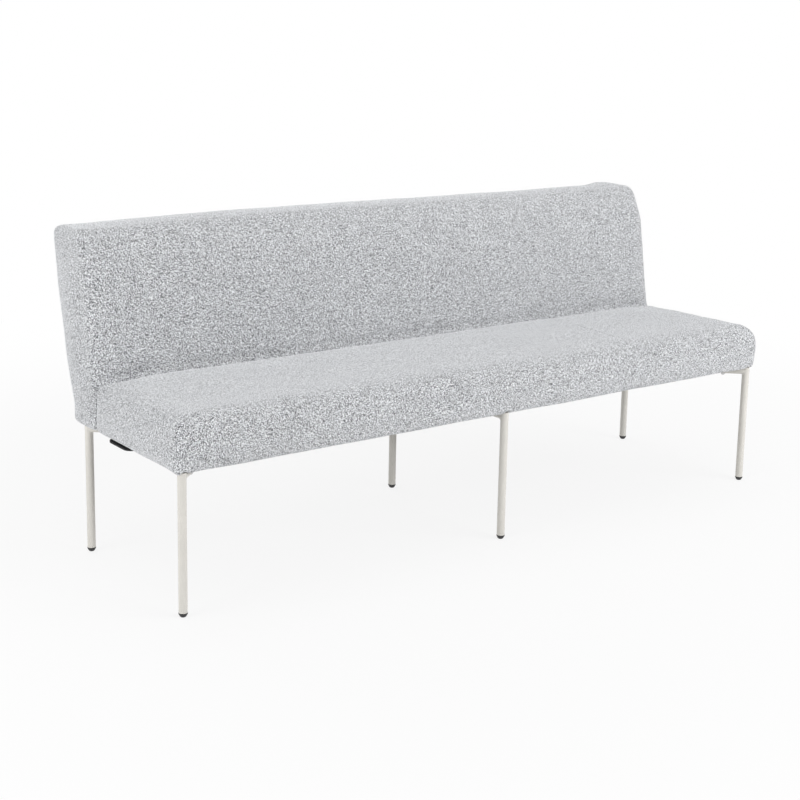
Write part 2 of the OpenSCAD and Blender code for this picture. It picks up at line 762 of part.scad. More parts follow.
module back_board(x) {
    color(wood_colour) difference() {
        upright_slab(concat(
            [[plank_front_y + rail_thickness, plank_top],
                [plank_front_y + rail_thickness, back_rail_top]],
            front_edge, rear_edge, [board_foot]
        ), x, board_thickness);
        on_seat() joint_insert_holes();
    }
}
end_board_x = board_outer_x - board_thickness / 2;
module back_board_left_end() back_board(-end_board_x);
module back_board_left() back_board(-cross_rail_offset);
module back_board_middle() back_board(middle_frame_offset);
module back_board_right() back_board(cross_rail_offset);
module back_board_right_end() back_board(end_board_x);
function shifted(edge, y, z) = [for (p = edge) p + [y, z]];
module slat(edge, y, z) {
    upright_slab(concat(edge, reversed(shifted(edge, y, z))), 0, 2 * board_outer_x);
}
module back_top_rail() {
    color(wood_colour) slat([front_top, rear_edge[0]], 0, board_thickness);
}
module back_front_panel() color(panel_colour) slat(front_edge, -panel_thickness, 0);
module back_rear_panel() color(panel_colour) slat(rear_edge, panel_thickness, 0);

// Foam of the back, around its wooden frame, and the cover over it
front_room = panel_thickness + fit_gap;
rear_room = panel_thickness + fit_gap;
room_top = board_top + board_thickness + fit_gap;
module back_room() {
    upright_slab(concat(
        [[plank_front_y - fit_gap, -cut_overrun]],
        [[plank_front_y - fit_gap, back_rail_top + fit_gap]],
        shifted([front_edge[0]], -front_room, fit_gap),
        shifted([for (i = [1:len(front_edge) - 1]) front_edge[i]], -front_room, 0),
        [[front_top[0] - front_room, room_top]],
        [[rear_edge[0][0] + rear_room, room_top]],
        shifted(rear_edge, rear_room, 0),
        [[plank_rear_y + fit_gap, plank_top + fit_gap], [plank_rear_y + fit_gap, -cut_overrun]]
    ), 0, 2 * (board_outer_x + fit_gap));
}
module back_foam() {
    color(foam_colour) difference() {
        on_seat() soft_body(back_lines, frame_base, 0);
        on_seat() joint_holes();
        back_room();
    }
}
module back_cover() {
    color(fabric_colour) on_seat() difference() {
        soft_shell(back_lines, cover_thickness, 0);
        joint_holes();
    }
}
module back_bottom_cloth() {
    cloth(back_front + bottom_radius, heel_y);
}

// Bolts that join the seat's rear rail to the back's front rail
joint_z = frame_base + rail_height / 2;
joint_count = floor(2 * (rail_outer_x - rail_thickness) / joint_bay_length);
joint_xs = [for (i = [0:joint_count]) (i - joint_count / 2) * joint_bay_length];
joint_front_y = rail_rear_y - rail_thickness;
module at_joints() {
    for (x = joint_xs) translate([x, 0, joint_z]) rotate([-90, 0, 0]) children();
}
module joint_holes() {
    at_joints() translate([0, 0, joint_front_y - cut_overrun])
        cylinder(r = hole_radius, h = plank_front_y - joint_front_y + 2 * cut_overrun);
}
module joint_insert_holes() {
    at_joints() translate([0, 0, plank_front_y - cut_overrun])
        cylinder(r = insert_hole_radius, h = cut_overrun + joint_insert_length);
}
joint_insert_length = rail_thickness - fit_gap;
module joint_bolts() {
    color(zinc_colour) on_seat() at_joints() translate([0, 0, joint_front_y])
        button_screw(joint_bolt_length);
}
module joint_inserts() {
    color(zinc_colour) on_seat() at_joints() translate([0, 0, plank_front_y])
        insert_nut(joint_insert_length);
}

// Row link: a flat plate that turns on a screw, under the left end
module link_holes() {
    translate([link_x, link_pivot_depth, -cut_overrun])
        cylinder(r = insert_hole_radius, h = cut_overrun + frame_base + insert_length);
    translate([stud_x, link_pivot_depth, -cut_overrun])
        cylinder(r = insert_hole_radius, h = cut_overrun + frame_base + insert_length);
}
module link_plate() {
    r = link_width / 2;
    hole = stud_diameter / 2 + hole_play;
    color(black_colour) on_seat()
        translate([link_x, link_pivot_depth, link_plate_top - link_thickness]) difference() {
            union() {
                cylinder(r = r, h = link_thickness);
                translate([0, link_reach, 0]) cylinder(r = r, h = link_thickness);
                translate([-r, 0, 0]) cube([link_width, link_reach, link_thickness]);
            }
            translate([0, 0, -cut_overrun])
                cylinder(r = screw_diameter / 2 + hole_play, h = 2 * cut_overrun);
            translate([0, link_reach, -cut_overrun]) cylinder(r = hole, h = 2 * cut_overrun);
        }
}
module link_pivot_screw() {
    bearing = link_plate_top - link_thickness - fit_gap;
    color(black_colour) on_seat() translate([link_x, link_pivot_depth, bearing])
        button_screw(screw_top - bearing);
}
module link_bush() {
    color(black_colour) on_seat()
        translate([link_x, link_pivot_depth, link_plate_top + fit_gap]) difference() {
            cylinder(r = link_bush_diameter / 2, h = link_bush_height - fit_gap);
            translate([0, 0, -cut_overrun])
                cylinder(r = screw_diameter / 2 + hole_play / 2, h = 2 * cut_overrun);
        }
}
module link_inserts() {
    color(zinc_colour) on_seat() for (x = [link_x, stud_x])
        translate([x, link_pivot_depth, frame_base]) insert_nut(insert_length);
}
module link_stud() {
    flange_z = -cloth_thickness - fit_gap - stud_flange_thickness;
    color(black_colour) on_seat() translate([stud_x, link_pivot_depth, flange_z]) {
        cylinder(r = stud_flange_diameter / 2, h = stud_flange_thickness);
        translate([0, 0, -stud_length]) cylinder(r = stud_diameter / 2, h = stud_length);
        cylinder(r = screw_diameter / 2, h = screw_top - flange_z);
    }
}

leg_front_left();
leg_front_middle();
leg_front_right();
leg_rear_left();
leg_rear_middle();
leg_rear_right();
arm_front_left();
arm_front_right();
arm_rear_left();
arm_rear_right();
middle_bar();
arm_end_plugs();
glide_front_left();
glide_front_middle();
glide_front_right();
glide_rear_left();
glide_rear_middle();
glide_rear_right();
leg_screws();
saddle_washers();
leg_inserts();
seat_front_rail();
seat_rear_rail();
seat_end_rail_left();
seat_end_rail_right();
seat_cross_rail_left();
seat_cross_rail_middle();
seat_cross_rail_right();
corner_plate_front_left();
corner_plate_front_right();
corner_plate_rear_left();
corner_plate_rear_right();
seat_webbing();
seat_foam();
seat_cover();
seat_bottom_cloth();
back_bottom_rail();
back_front_rail();
back_top_rail();
back_board_left_end();
back_board_left();
back_board_middle();
back_board_right();
back_board_right_end();
back_front_panel();
back_rear_panel();
back_foam();
back_cover();
back_bottom_cloth();
joint_bolts();
joint_inserts();
link_plate();
link_pivot_screw();
link_bush();
link_inserts();
link_stud();
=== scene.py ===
"""Dining sofa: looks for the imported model. Lengths in metres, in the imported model's frame.

The upholstery is drawn on the seat's own plane, as in the part's source: x along the sofa,
y backwards from the seat's front face and z up from the underside.
"""

import json
import math

import bmesh
import bpy
import numpy as np
from mathutils import Matrix, Vector


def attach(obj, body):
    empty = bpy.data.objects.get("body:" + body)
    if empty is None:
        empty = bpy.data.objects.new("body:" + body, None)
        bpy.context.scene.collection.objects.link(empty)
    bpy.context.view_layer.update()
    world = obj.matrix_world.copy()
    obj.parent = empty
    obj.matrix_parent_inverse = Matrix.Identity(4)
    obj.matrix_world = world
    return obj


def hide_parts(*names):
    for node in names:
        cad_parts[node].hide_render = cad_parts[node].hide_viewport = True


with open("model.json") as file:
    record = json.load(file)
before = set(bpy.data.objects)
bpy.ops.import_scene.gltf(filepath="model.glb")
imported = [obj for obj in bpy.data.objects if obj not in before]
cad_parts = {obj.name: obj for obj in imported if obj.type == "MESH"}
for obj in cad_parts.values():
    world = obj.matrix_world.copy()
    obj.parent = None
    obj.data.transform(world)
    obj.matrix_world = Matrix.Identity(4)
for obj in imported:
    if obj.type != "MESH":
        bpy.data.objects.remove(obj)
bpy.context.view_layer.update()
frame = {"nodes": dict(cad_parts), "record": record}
scene = bpy.context.scene

MM = 0.001

# Sizes, as in the part's source
HALF = 1000 * MM
TILT = math.radians(1.15)
BASE_Z = 364.5 * MM
FRONT_Y = -358.911 * MM
END_SWELL = 9 * MM
EDGE_X = HALF - END_SWELL
SEAT_DEPTH, SEAT_THICK = 460 * MM, 132.5 * MM
SEAT_FRONT_R, SEAT_REAR_R, SEAT_END_R, SEAT_CORNER_R = 46 * MM, 26 * MM, 38 * MM, 18 * MM
SEAT_CROWN, SEAT_FALL, FRONT_SWELL = 4 * MM, 5 * MM, 7 * MM
JOINT_CORNER_R, REAR_END_SHARE = 6 * MM, 0.92
BOTTOM_R, BOTTOM_END_R = 14 * MM, 10 * MM
BACK_HEIGHT, BACK_BASE, BACK_TOP, REAR_SWELL = 515.5 * MM, 131 * MM, 190 * MM, 17 * MM
BACK_LEAN, BACK_SET = math.radians(8.1), 2 * MM
BROW_H, BROW_D = 140 * MM, 55 * MM
TOP_FALL = math.radians(0.6)
BACK_REAR_R, HEEL_R = 25 * MM, 20 * MM
BACK_CORNER_R, BACK_END_R, BACK_REAR_CORNER_R = 30 * MM, 26 * MM, 20 * MM
END_FILL, END_DOME = 7 * MM, 5 * MM
END_X = EDGE_X + END_FILL
BACK_FRONT = SEAT_DEPTH + 0.3 * MM
BACK_REAR = BACK_FRONT + BACK_BASE
SEAM_X = 0.5
LEG_X, MIDDLE_X = 974 * MM, 10 * MM
LEG_FRONT_Y, LEG_REAR_Y = 24 * MM, BACK_REAR - 46 * MM
TUBE_R, ARM_Z, ARM_LENGTH = 11 * MM, -12.1 * MM, 197 * MM
LINK_X, LINK_Y, STUD_X = -971 * MM, 296 * MM, 962 * MM
DIAGONAL = math.sqrt(0.5)
# Rows of legs as (place in depth, way to the middle), and corner legs as (side, place, way)
LEG_ROWS = [(LEG_FRONT_Y, 1), (LEG_REAR_Y, -1)]
CORNER_LEGS = [(side, y, way) for side in (-1, 1) for y, way in LEG_ROWS]

# Shares of a straight stretch that its profile points take, between the roundings
SEAT_FACE_SPAN, SEAT_TOP_SPAN, BACK_TAIL_SPAN = (0.2, 0.62), (0.05, 0.95), (0.94, 0.06)
BROW_STEPS = 24

# Loft and cloth simulation: the form starts smaller than the source's and swells
START_INSET, INSET_FROM, INSET_FULL = 2.5 * MM, 2 * MM, 30 * MM
SPAN_STATIONS, ROUND_STATIONS, CAP_SHARES = 40, 9, (0.9, 0.75, 0.55, 0.35, 0.15)
VOXEL, SWELL_CAP, PRESSURE, CLOTH_FRAMES = 8 * MM, 3.5 * MM, 4.0, 16
PIN_LOW, PIN_HIGH = 1 * MM, 6 * MM

# The padding that hangs over the frame's lower edge, fitted to the photograph
LIP_DEPTH, LIP_FRONT_MORE, LIP_CORNER_MORE = 4.0 * MM, 6.2 * MM, 5.5 * MM
LIP_RIGHT_LESS, LIP_RIGHT_END_MORE, LIP_UNEVEN = 2.2 * MM, 1.4 * MM, 0.7 * MM
LIP_FLAT, LIP_INNER, LIP_HEIGHT, LIP_END_INSET = 12 * MM, 24 * MM, 40 * MM, 2 * MM
# Where the link plate swings: the padding's depth, and the stretches in y where it changes
LIP_OVER_PLATE = 3.2 * MM
PLATE_BEGINS = (LINK_Y - 45 * MM, LINK_Y - 28 * MM)
PLATE_ENDS = (LINK_Y + 104 * MM, LINK_Y + 125 * MM)
# Distances over which the padding begins, from a tube's axis, the link's screw and the stud
LIP_OFF_TUBE = (TUBE_R - 1 * MM, TUBE_R + 3.5 * MM)
LIP_OFF_LINK, LIP_OFF_STUD = (13 * MM, 18 * MM), (16 * MM, 22 * MM)

# Fullness, creases and drawn-in places of the upholstery, fitted to the photograph
DETAIL_FROM, DETAIL_FULL = 2 * MM, 12 * MM
# Unevenness as (height, seed, size, stretch), and creases as (start, end, width)
SEAT_UNEVEN = ((0.9 * MM, 3, 0.24, (1.6, 1, 1)), (0.5 * MM, 4, 0.09, (1.4, 1, 1)))
BACK_UNEVEN = ((1.1 * MM, 7, 0.3, (1.7, 1, 1)), (0.5 * MM, 8, 0.1, (1.4, 1, 1)))
SEAT_CREASE, SEAT_CREASE_DEPTH = ((0.70, 0.335), (0.79, 0.245), 7 * MM), 0.9 * MM
BACK_CREASE, BACK_CREASE_DEPTH = ((0.458, 0.106), (0.508, 0.061), 4.5 * MM), 1.8 * MM
SEAT_FILL, SEAT_END_BULGE = 11 * MM, 7.5 * MM
GROOVE_DEPTH, GROOVE_WIDTH, GROOVE_END_DROP = 5.5 * MM, 13 * MM, 10 * MM
TOP_RISE, TOP_RISE_LEFT, TOP_DROP_RIGHT, TOP_BUMP = 1.2 * MM, 5.5 * MM, 4.2 * MM, 4.5 * MM
CORNER_DRAW_RIGHT, CORNER_DRAW_LEFT, LEFT_END_FILL = 13 * MM, 4 * MM, 2.4 * MM
SEAM_LOOPS = (-9, -6, -4, -2.2, -1.1, 0, 1.1, 2.2, 4, 6, 9)

# Cloths under seat and back, their staples, and the frame's welds
CLOTH_Z, CLOTH_THICK, CLOTH_X = -0.45 * MM, 0.6 * MM, END_X - 26 * MM
CLOTH_COLUMNS, CLOTH_CELL, CLOTH_EDGE = 240, 8 * MM, 25 * MM
CLOTH_SAG, CLOTH_UNEVEN = 2.4 * MM, 0.8 * MM
STAPLE_PITCH, STAPLE_EDGE, STAPLE_HALF, STAPLE_BEND = 42 * MM, 5 * MM, 5 * MM, 0.7 * MM
WIRE_HALF, WIRE_THICK, WIRE_INNER = 0.35 * MM, 0.35 * MM, 0.96
STAPLE_SUNK, STAPLE_PROUD = 0.05 * MM, 0.5 * MM
STAPLE_SCATTER, STAPLE_TURN = 2.5 * MM, 0.12
LINK_SCREW_ROOM, STUD_ROOM, STAPLE_OFF_LINK, STAPLE_OFF_TUBE = 15 * MM, 19 * MM, 4 * MM, 5 * MM
MIDDLE_FILLET, ARM_FILLET, WELD_SUNK = 9 * MM, 2.6 * MM, 0.9 * MM


def smooth_step(v, a, b):
    """0 up to a, rising softly to 1 at b."""
    t = np.clip((v - a) / (b - a), 0, 1)
    return t * t * (3 - 2 * t)


def fade(v, a, b):
    """1 up to a, falling softly to 0 at b."""
    return 1 - smooth_step(v, a, b)


def bump(v, centre, width):
    """1 at the centre, falling to 0 on both sides as a bell."""
    return np.exp(-(((v - centre) / width) ** 2))


def waves(co, seed, size, stretch=(1, 1, 1), octaves=6):
    """A soft random field from summed sines, about -1 to 1."""
    rng = np.random.default_rng(seed)
    q = co / (np.array(stretch) * size)
    out = np.zeros(len(co))
    for _ in range(octaves * 3):
        d = rng.normal(size=3)
        d /= np.linalg.norm(d)
        out += np.sin(q @ d * 2 * math.pi * rng.uniform(0.7, 1.5) + rng.uniform(0, 2 * math.pi))
    return out / math.sqrt(octaves * 3 / 2) / 1.6


def on_seat(co):
    """Points on the seat's plane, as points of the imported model's frame."""
    c, s = math.cos(TILT), math.sin(TILT)
    out = np.array(co, float)
    out[:, 1] = FRONT_Y + co[:, 1] * c + co[:, 2] * s
    out[:, 2] = BASE_Z + co[:, 2] * c - co[:, 1] * s
    return out


def mesh_piece(name, points, faces):
    """A new object in the scene."""
    mesh = bpy.data.meshes.new(name)
    mesh.from_pydata([tuple(v) for v in points], [], faces)
    mesh.update()
    obj = bpy.data.objects.new(name, mesh)
    scene.collection.objects.link(obj)
    return obj


def vectors(items, key):
    """One vector of each vertex or normal, as an array."""
    values = np.zeros(len(items) * 3, np.float32)
    items.foreach_get(key, values)
    return values.reshape(-1, 3).astype(float)


def coords(obj):
    return vectors(obj.data.vertices, "co")


def set_coords(obj, co):
    obj.data.vertices.foreach_set("co", co.astype(np.float32).ravel())
    obj.data.update()


def evaluated_mesh(obj):
    """A new mesh, as the object's modifiers make it."""
    deps = bpy.context.evaluated_depsgraph_get()
    return bpy.data.meshes.new_from_object(obj.evaluated_get(deps))


def apply_modifier(obj, kind, **settings):
    mod = obj.modifiers.new(kind.title(), kind)
    for key, value in settings.items():
        setattr(mod, key, value)
    mesh = evaluated_mesh(obj)
    obj.modifiers.clear()
    old = obj.data
    obj.data = mesh
    bpy.data.meshes.remove(old)


def edit_mesh(obj, change):
    """Runs change(mesh) on the object's mesh as a bmesh."""
    mesh = bmesh.new()
    mesh.from_mesh(obj.data)
    change(mesh)
    mesh.to_mesh(obj.data)
    mesh.free()


# Profiles of the upholstery: lists of (y, z, rounding at the ends)
def arc(cy, cz, r, a0, a1, n, e0, e1):
    """A circular arc from a0 to a1 degrees in n steps, its end rounding going from e0 to e1."""
    points = []
    for i in range(n + 1):
        t = i / n
        a = math.radians(a0 + (a1 - a0) * t)
        points.append((cy + r * math.cos(a), cz + r * math.sin(a), e0 + (e1 - e0) * t))
    return points


def seat_lines():
    face = [
        (FRONT_SWELL * (2 * t - 1) ** 2, SEAT_THICK * t, SEAT_CORNER_R)
        for t in np.linspace(*SEAT_FACE_SPAN, 8)
    ]
    y0, y1 = SEAT_FRONT_R, SEAT_DEPTH - SEAT_REAR_R
    top = [
        (y0 + (y1 - y0) * t, SEAT_THICK - SEAT_FALL * t + 4 * SEAT_CROWN * t * (1 - t), SEAT_END_R)
        for t in np.linspace(*SEAT_TOP_SPAN, 19)
    ]
    rear_top = SEAT_THICK - SEAT_FALL
    rear = [
        (SEAT_DEPTH, z, JOINT_CORNER_R)
        for z in np.linspace(rear_top - SEAT_REAR_R, BOTTOM_R, 8)[1:-1]
    ]
    bottom = [
        (y, 0.0, BOTTOM_END_R)
        for y in np.linspace(SEAT_DEPTH - BOTTOM_R, FRONT_SWELL + BOTTOM_R, 22)[1:-1]
    ]
    low_end = SEAT_CORNER_R / 2 + BOTTOM_END_R / 2
    rear_end = SEAT_REAR_R * REAR_END_SHARE
    return (
        arc(FRONT_SWELL + BOTTOM_R, BOTTOM_R, BOTTOM_R, 270, 180, 6, BOTTOM_END_R, low_end)
        + face
        + arc(y0, SEAT_THICK - SEAT_FRONT_R, SEAT_FRONT_R, 180, 90, 12, SEAT_CORNER_R, SEAT_END_R)
        + top
        + arc(y1, rear_top - SEAT_REAR_R, SEAT_REAR_R, 90, 0, 8, rear_end, JOINT_CORNER_R)
        + rear
        + arc(SEAT_DEPTH - BOTTOM_R, BOTTOM_R, BOTTOM_R, 0, -90, 6, JOINT_CORNER_R, BOTTOM_END_R)
        + bottom
    )


BROW_Z = BACK_HEIGHT - BROW_H
FACE_Y = BACK_FRONT + BACK_SET
FOOT_Z = SEAT_THICK - BACK_SET / math.tan(BACK_LEAN)


def face_line(z):
    """The back's leaning face, carried on above and below it."""
    return FACE_Y + math.tan(BACK_LEAN) * (z - SEAT_THICK)


def front_line(z):
    """The back's front: upright behind the seat, then leaning, then rounded off at the brow."""
    if z < BROW_Z:
        return face_line(max(z, FOOT_Z))
    t = min((z - BROW_Z) / BROW_H, 1.0)
    return face_line(z) + BROW_D * (1 - math.sqrt(1 - t * t))


TAIL_TOP = face_line(BACK_HEIGHT) + BACK_TOP


def tail_line(z):
    """The back's rear, which leans and bows."""
    t = z / BACK_HEIGHT
    return BACK_REAR + (TAIL_TOP - BACK_REAR) * t + 4 * REAR_SWELL * t * (1 - t)


def back_lines():
    foot_more, brow_less = BACK_CORNER_R - JOINT_CORNER_R, BACK_END_R - BACK_CORNER_R
    foot = [
        (front_line(z), z, JOINT_CORNER_R + foot_more * (z / FOOT_Z) ** 3 / 2)
        for z in np.linspace(BOTTOM_R, FOOT_Z, 8)[1:]
    ]
    face = [(front_line(z), z, BACK_CORNER_R) for z in np.linspace(FOOT_Z, BROW_Z, 14)[1:]]
    brow = []
    for i in range(1, BROW_STEPS + 1):
        z = BROW_Z + BROW_H * math.sin(math.radians(90 * i / BROW_STEPS))
        brow.append((front_line(z), z, BACK_CORNER_R + brow_less * i / BROW_STEPS))
    y0 = front_line(BACK_HEIGHT)
    y1 = tail_line(BACK_HEIGHT) - BACK_REAR_R

    def top_line(y):
        return BACK_HEIGHT - math.tan(TOP_FALL) * (y - y0)

    top = [(y, top_line(y), BACK_END_R) for y in np.linspace(y0, y1, 8)[1:-1]]
    tail = [
        (tail_line(z), z, BACK_REAR_CORNER_R)
        for z in np.linspace(*BACK_TAIL_SPAN, 24) * BACK_HEIGHT
    ]
    heel_y = tail_line(HEEL_R) - HEEL_R
    heel_end = (BACK_REAR_CORNER_R + BOTTOM_END_R) / 2
    rear_end = (BACK_REAR_CORNER_R, BACK_REAR_CORNER_R)
    bottom = [
        (y, 0.0, BOTTOM_END_R) for y in np.linspace(heel_y, BACK_FRONT + BOTTOM_R, 8)[1:-1]
    ]
    return (
        arc(BACK_FRONT + BOTTOM_R, BOTTOM_R, BOTTOM_R, 270, 180, 6, BOTTOM_END_R, JOINT_CORNER_R)
        + foot
        + face
        + brow
        + top
        + arc(y1, top_line(y1) - BACK_REAR_R, BACK_REAR_R, 90, 8, 8, *rear_end)
        + tail
        + arc(heel_y, HEEL_R, HEEL_R, -10, -90, 6, heel_end, BOTTOM_END_R)
        + bottom
    )


def loft(name, lines):
    """A closed form along x over a profile, its ends rounded line by line and gently domed."""
    p = np.array(lines)
    n = len(p)
    inset = START_INSET * smooth_step(p[:, 1], INSET_FROM, INSET_FULL)
    step = np.roll(p[:, :2], -1, 0) - p[:, :2]
    normal = np.stack([-step[:, 1], step[:, 0]], 1)
    normal /= np.linalg.norm(normal, axis=1)[:, None]
    before = np.roll(normal, 1, 0)
    mitre = (before + normal) / (1 + (before * normal).sum(1))[:, None]
    middle = p[:, :2].mean(0)
    half = [("span", t) for t in np.linspace(0, 1, SPAN_STATIONS)]
    half += [("round", math.radians(a)) for a in np.linspace(0, 90, ROUND_STATIONS)]
    half += [("cap", share) for share in CAP_SHARES]
    rounding = np.maximum(p[:, 2] - inset, 0)
    rings = []
    for side, (kind, v) in [(-1, s) for s in half[:0:-1]] + [(1, s) for s in half]:
        turn = {"span": 0.0, "round": v, "cap": math.pi / 2}[kind]
        share = v if kind == "cap" else 1.0
        draw = inset + rounding * (1 - math.cos(turn))
        if kind == "span":
            x = v * (END_X - p[:, 2])
        else:
            x = END_X - p[:, 2] + rounding * math.sin(turn) + END_DOME * (1 - share * share)
        yz = p[:, :2] - draw[:, None] * mitre
        rings.append(np.column_stack([side * x, middle + (yz - middle) * share]))
    tip_x = END_X - inset.max() + END_DOME
    points = np.concatenate(rings + [np.array([[-tip_x, *middle], [tip_x, *middle]])])
    faces = []
    last, tip = len(rings) - 1, len(rings) * n
    around = [(j, (j + 1) % n) for j in range(n)]
    for k in range(last):
        faces += [(k * n + j, (k + 1) * n + j, (k + 1) * n + i, k * n + i) for j, i in around]
    faces += [(tip, j, i) for j, i in around]
    faces += [(tip + 1, last * n + i, last * n + j) for j, i in around]
    return mesh_piece(name, points, faces)


def puff(obj):
    """Remeshes a form and swells it as stuffed fabric does, with its underside pinned."""
    apply_modifier(obj, "REMESH", mode="VOXEL", voxel_size=VOXEL, adaptivity=0)
    start = coords(obj)
    group = obj.vertex_groups.new(name="hold")
    weight = np.round(fade(start[:, 2], PIN_LOW, PIN_HIGH), 2)
    for level in np.unique(weight):
        if level > 0:
            group.add(np.flatnonzero(weight == level).tolist(), float(level), "REPLACE")
    mod = obj.modifiers.new("Cloth", "CLOTH")
    cloth = mod.settings
    cloth.quality = 3
    cloth.mass = 0.4
    cloth.tension_stiffness = cloth.compression_stiffness = 25
    cloth.shear_stiffness = 12
    cloth.bending_stiffness = 0.8
    cloth.use_pressure = True
    cloth.uniform_pressure_force = PRESSURE
    cloth.vertex_group_mass = "hold"
    cloth.effector_weights.gravity = 0
    mod.collision_settings.use_collision = False
    mod.collision_settings.use_self_collision = False
    mod.point_cache.frame_start, mod.point_cache.frame_end = 1, CLOTH_FRAMES
    for number in range(1, CLOTH_FRAMES + 1):
        scene.frame_set(number)
        bpy.context.evaluated_depsgraph_get()
    swollen = evaluated_mesh(obj)
    obj.modifiers.clear()
    move = vectors(swollen.vertices, "co") - start
    bpy.data.meshes.remove(swollen)
    scene.frame_set(1)
    far = np.linalg.norm(move, axis=1)
    move *= (np.minimum(far, SWELL_CAP) / np.maximum(far, 1e-9))[:, None]
    set_coords(obj, start + move)
    obj.vertex_groups.clear()


# Materials
def feed(tree, node, inputs):
    """Fills a node's inputs: a socket is linked, anything else becomes the input's own value."""
    for key, value in inputs.items():
        if isinstance(value, bpy.types.NodeSocket):
            tree.links.new(value, node.inputs[key])
        else:
            node.inputs[key].default_value = value


def add(tree, kind, inputs=None, **settings):
    node = tree.nodes.new(kind)
    for key, value in settings.items():
        setattr(node, key, value)
    feed(tree, node, inputs or {})
    return node


def compute(tree, operation, *values):
    """Result of a math node."""
    return add(tree, "ShaderNodeMath", dict(enumerate(values)), operation=operation).outputs[0]


def fit_range(tree, value, from_range, to_range, interpolation="LINEAR"):
    """Result of a node that maps one range of values to another."""
    inputs = {
        "Value": value,
        "From Min": from_range[0],
        "From Max": from_range[1],
        "To Min": to_range[0],
        "To Max": to_range[1],
    }
    node = add(tree, "ShaderNodeMapRange", inputs, interpolation_type=interpolation)
    return node.outputs["Result"]


def noise(tree, place, scale, detail, roughness=0.5, distortion=0.0):
    inputs = {
        "Vector": place,
        "Scale": scale,
        "Detail": detail,
        "Roughness": roughness,
        "Distortion": distortion,
    }
    return add(tree, "ShaderNodeTexNoise", inputs).outputs["Fac"]


def ramp(tree, source, *stops):
    """Colour of a ramp with stops of (place, colour)."""
    node = add(tree, "ShaderNodeValToRGB", {"Fac": source})
    elements = node.color_ramp.elements
    while len(elements) < len(stops):
        elements.new(0.5)
    for element, (place, colour) in zip(elements, stops):
        element.position = place
        element.color = (*colour, 1)
    return node.outputs["Color"]


def grey(v):
    return (v, v, v)


def multiply(tree, first, second):
    inputs = {"Fac": 1.0, "Color1": first, "Color2": second}
    return add(tree, "ShaderNodeMixRGB", inputs, blend_type="MULTIPLY").outputs[0]


def relief(tree, height, strength, distance):
    """Normal of a bump."""
    inputs = {"Height": height, "Strength": strength, "Distance": distance}
    return add(tree, "ShaderNodeBump", inputs).outputs[0]


def band(tree, source, middle, half_width, edge):
    """A soft line where a noise passes its middle value: 1 on the line, 0 away from it."""
    away = compute(tree, "ABSOLUTE", compute(tree, "SUBTRACT", source, middle))
    return fit_range(tree, away, (half_width, half_width + edge), (1.0, 0.0), "SMOOTHSTEP")


def new_material(name):
    """A material with its tree, its shader and the object's own coordinates."""
    mat = bpy.data.materials.new(name)
    mat.use_nodes = True
    tree = mat.node_tree
    tree.nodes.clear()
    out = tree.nodes.new("ShaderNodeOutputMaterial")
    bsdf = tree.nodes.new("ShaderNodeBsdfPrincipled")
    tree.links.new(bsdf.outputs[0], out.inputs["Surface"])
    return mat, tree, bsdf, add(tree, "ShaderNodeTexCoord").outputs["Object"]


def boucle():
    """Mélange bouclé: curled loops of pale yarn with nearly black fibres, partly the yarn's own
    dark threads and partly painted shade in the gaps between the loops, and painted shade that
    darkens the yarn away from the loop lines.
    """
    mat, tree, bsdf, place = new_material("boucle_grey")
    shifted = add(tree, "ShaderNodeMapping", {"Vector": place, "Location": (3.1, 1.7, 5.3)})
    loops = band(tree, noise(tree, place, 300, 1, distortion=0.9), 0.5, 0.045, 0.05)
    fibres = noise(tree, shifted.outputs[0], 430, 1, distortion=0.6)
    # The near-black stop is partly the yarn's own dark threads and partly painted shade in the gaps
    # between the loops
    yarn_and_painted_gaps = ramp(
        tree, fibres,
        (0.43, (0.015, 0.017, 0.022)),
        (0.48, (0.515, 0.526, 0.555)),
        (0.53, (0.89, 0.905, 0.94)),
        (0.58, (0.98, 0.99, 1.0)),
    )
    # Painted shade: the yarn is 10% darker away from the loop lines, as if the gaps between the
    # raised loops lay in shade
    yarn_with_painted_loop_shade = multiply(tree, yarn_and_painted_gaps, fit_range(tree, loops, (0.0, 1.0), (0.9, 1.0)))
    tone = ramp(tree, noise(tree, place, 30, 3, 0.6), (0.3, (0.96, 0.96, 0.965)), (0.7, grey(1.03)))
    feed(tree, bsdf, {
        "Base Color": multiply(tree, yarn_with_painted_loop_shade, tone),
        "Normal": relief(tree, compute(tree, "ADD", loops, fibres), 0.7, 1 * MM),
        "Roughness": 0.95,
        "Specular IOR Level": 0.1,
        "Sheen Weight": 1.0,
        "Sheen Roughness": 0.5,
        "Sheen Tint": (0.965, 0.98, 1.0, 1),
    })
    return mat


def coated(name, colour, roughness, scale=900, specular=0.5):
    """Powder coat or moulded plastic with a fine texture and a slight unevenness."""
    mat, tree, bsdf, place = new_material(name)
    peel = noise(tree, place, scale, 2)
    darker, lighter = (tuple(min(c * k, 1) for c in colour) for k in (0.97, 1.02))
    rougher = min(roughness * 1.08, 1)
    feed(tree, bsdf, {
        "Base Color": ramp(tree, noise(tree, place, 14, 2), (0.3, darker), (0.7, lighter)),
        "Normal": relief(tree, peel, 0.12, 0.3 * MM),
        "Roughness": ramp(tree, peel, (0.3, grey(roughness * 0.92)), (0.7, grey(rougher))),
        "Specular IOR Level": specular,
    })
    return mat


def grained(name, light, dark, roughness, stretch, scale):
    """Wood, board or foam, with a grain that runs along the axis of the smallest stretch."""
    mat, tree, bsdf, place = new_material(name)
    scaled = add(tree, "ShaderNodeMapping", {"Vector": place, "Scale": stretch}).outputs[0]
    grain = noise(tree, scaled, scale, 6, 0.65, 0.6)
    feed(tree, bsdf, {
        "Base Color": ramp(tree, grain, (0.3, dark), (0.7, light)),
        "Normal": relief(tree, grain, 0.2, 0.6 * MM),
        "Roughness": roughness,
    })
    return mat


